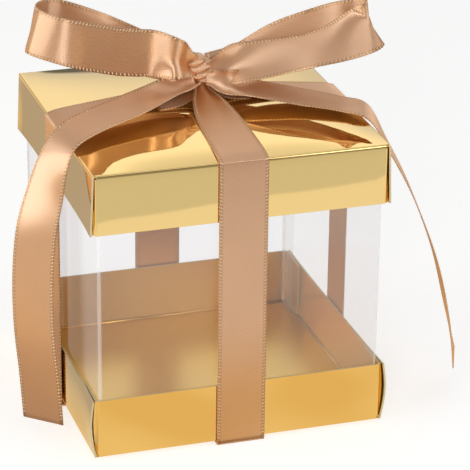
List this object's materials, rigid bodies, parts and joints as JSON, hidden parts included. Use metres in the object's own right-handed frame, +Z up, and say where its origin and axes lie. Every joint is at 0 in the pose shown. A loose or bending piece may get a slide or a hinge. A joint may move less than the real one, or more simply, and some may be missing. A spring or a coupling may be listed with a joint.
{
  "type": "favor box",
  "caption": "Small square gift box: foil card tray and lid on a clear sleeve, tied crosswise with a satin ribbon and a two-loop bow.",
  "frame": {"origin": "middle of the box's footprint, on the surface that it stands on", "axes": "+Z up through the knot, -Y towards the front pane, +X towards the right pane, which holds the sleeve's glued lap"},
  "size_m": [0.0947, 0.0612, 0.0838],
  "materials": {
    "foil_card": "gold mirror foil over board",
    "clear_sheet": "clear glossy PET sheet",
    "satin_ribbon": "double-face satin with stitched edges"
  },
  "bodies": {
    "base": {"tray": "foil_card", "ribbon_under_across": "satin_ribbon", "ribbon_under_through": "satin_ribbon"},
    "sleeve": {"sleeve": "clear_sheet"},
    "lid": {"lid": "foil_card"},
    "ribbon": {"ribbon_side_front": "satin_ribbon", "ribbon_side_back": "satin_ribbon", "ribbon_side_left": "satin_ribbon", "ribbon_side_right": "satin_ribbon", "ribbon_arm_front": "satin_ribbon", "ribbon_arm_back": "satin_ribbon", "ribbon_arm_left": "satin_ribbon", "ribbon_arm_right": "satin_ribbon", "knot": "satin_ribbon", "bow_loop_left": "satin_ribbon", "bow_loop_right": "satin_ribbon", "ribbon_tail_left": "satin_ribbon", "ribbon_tail_right": "satin_ribbon"}
  },
  "joints": [
    {"name": "sleeve_lift", "type": "slide", "parent": "base", "child": "sleeve", "axis": [0, 0, 1], "range_m": [0, 0.03]},
    {"name": "lid_lift", "type": "slide", "parent": "sleeve", "child": "lid", "axis": [0, 0, 1], "range_m": [0, 0.07]},
    {"name": "ribbon_lift", "type": "slide", "parent": "lid", "child": "ribbon", "axis": [0, 0, 1], "range_m": [0, 0.07]}
  ]
}
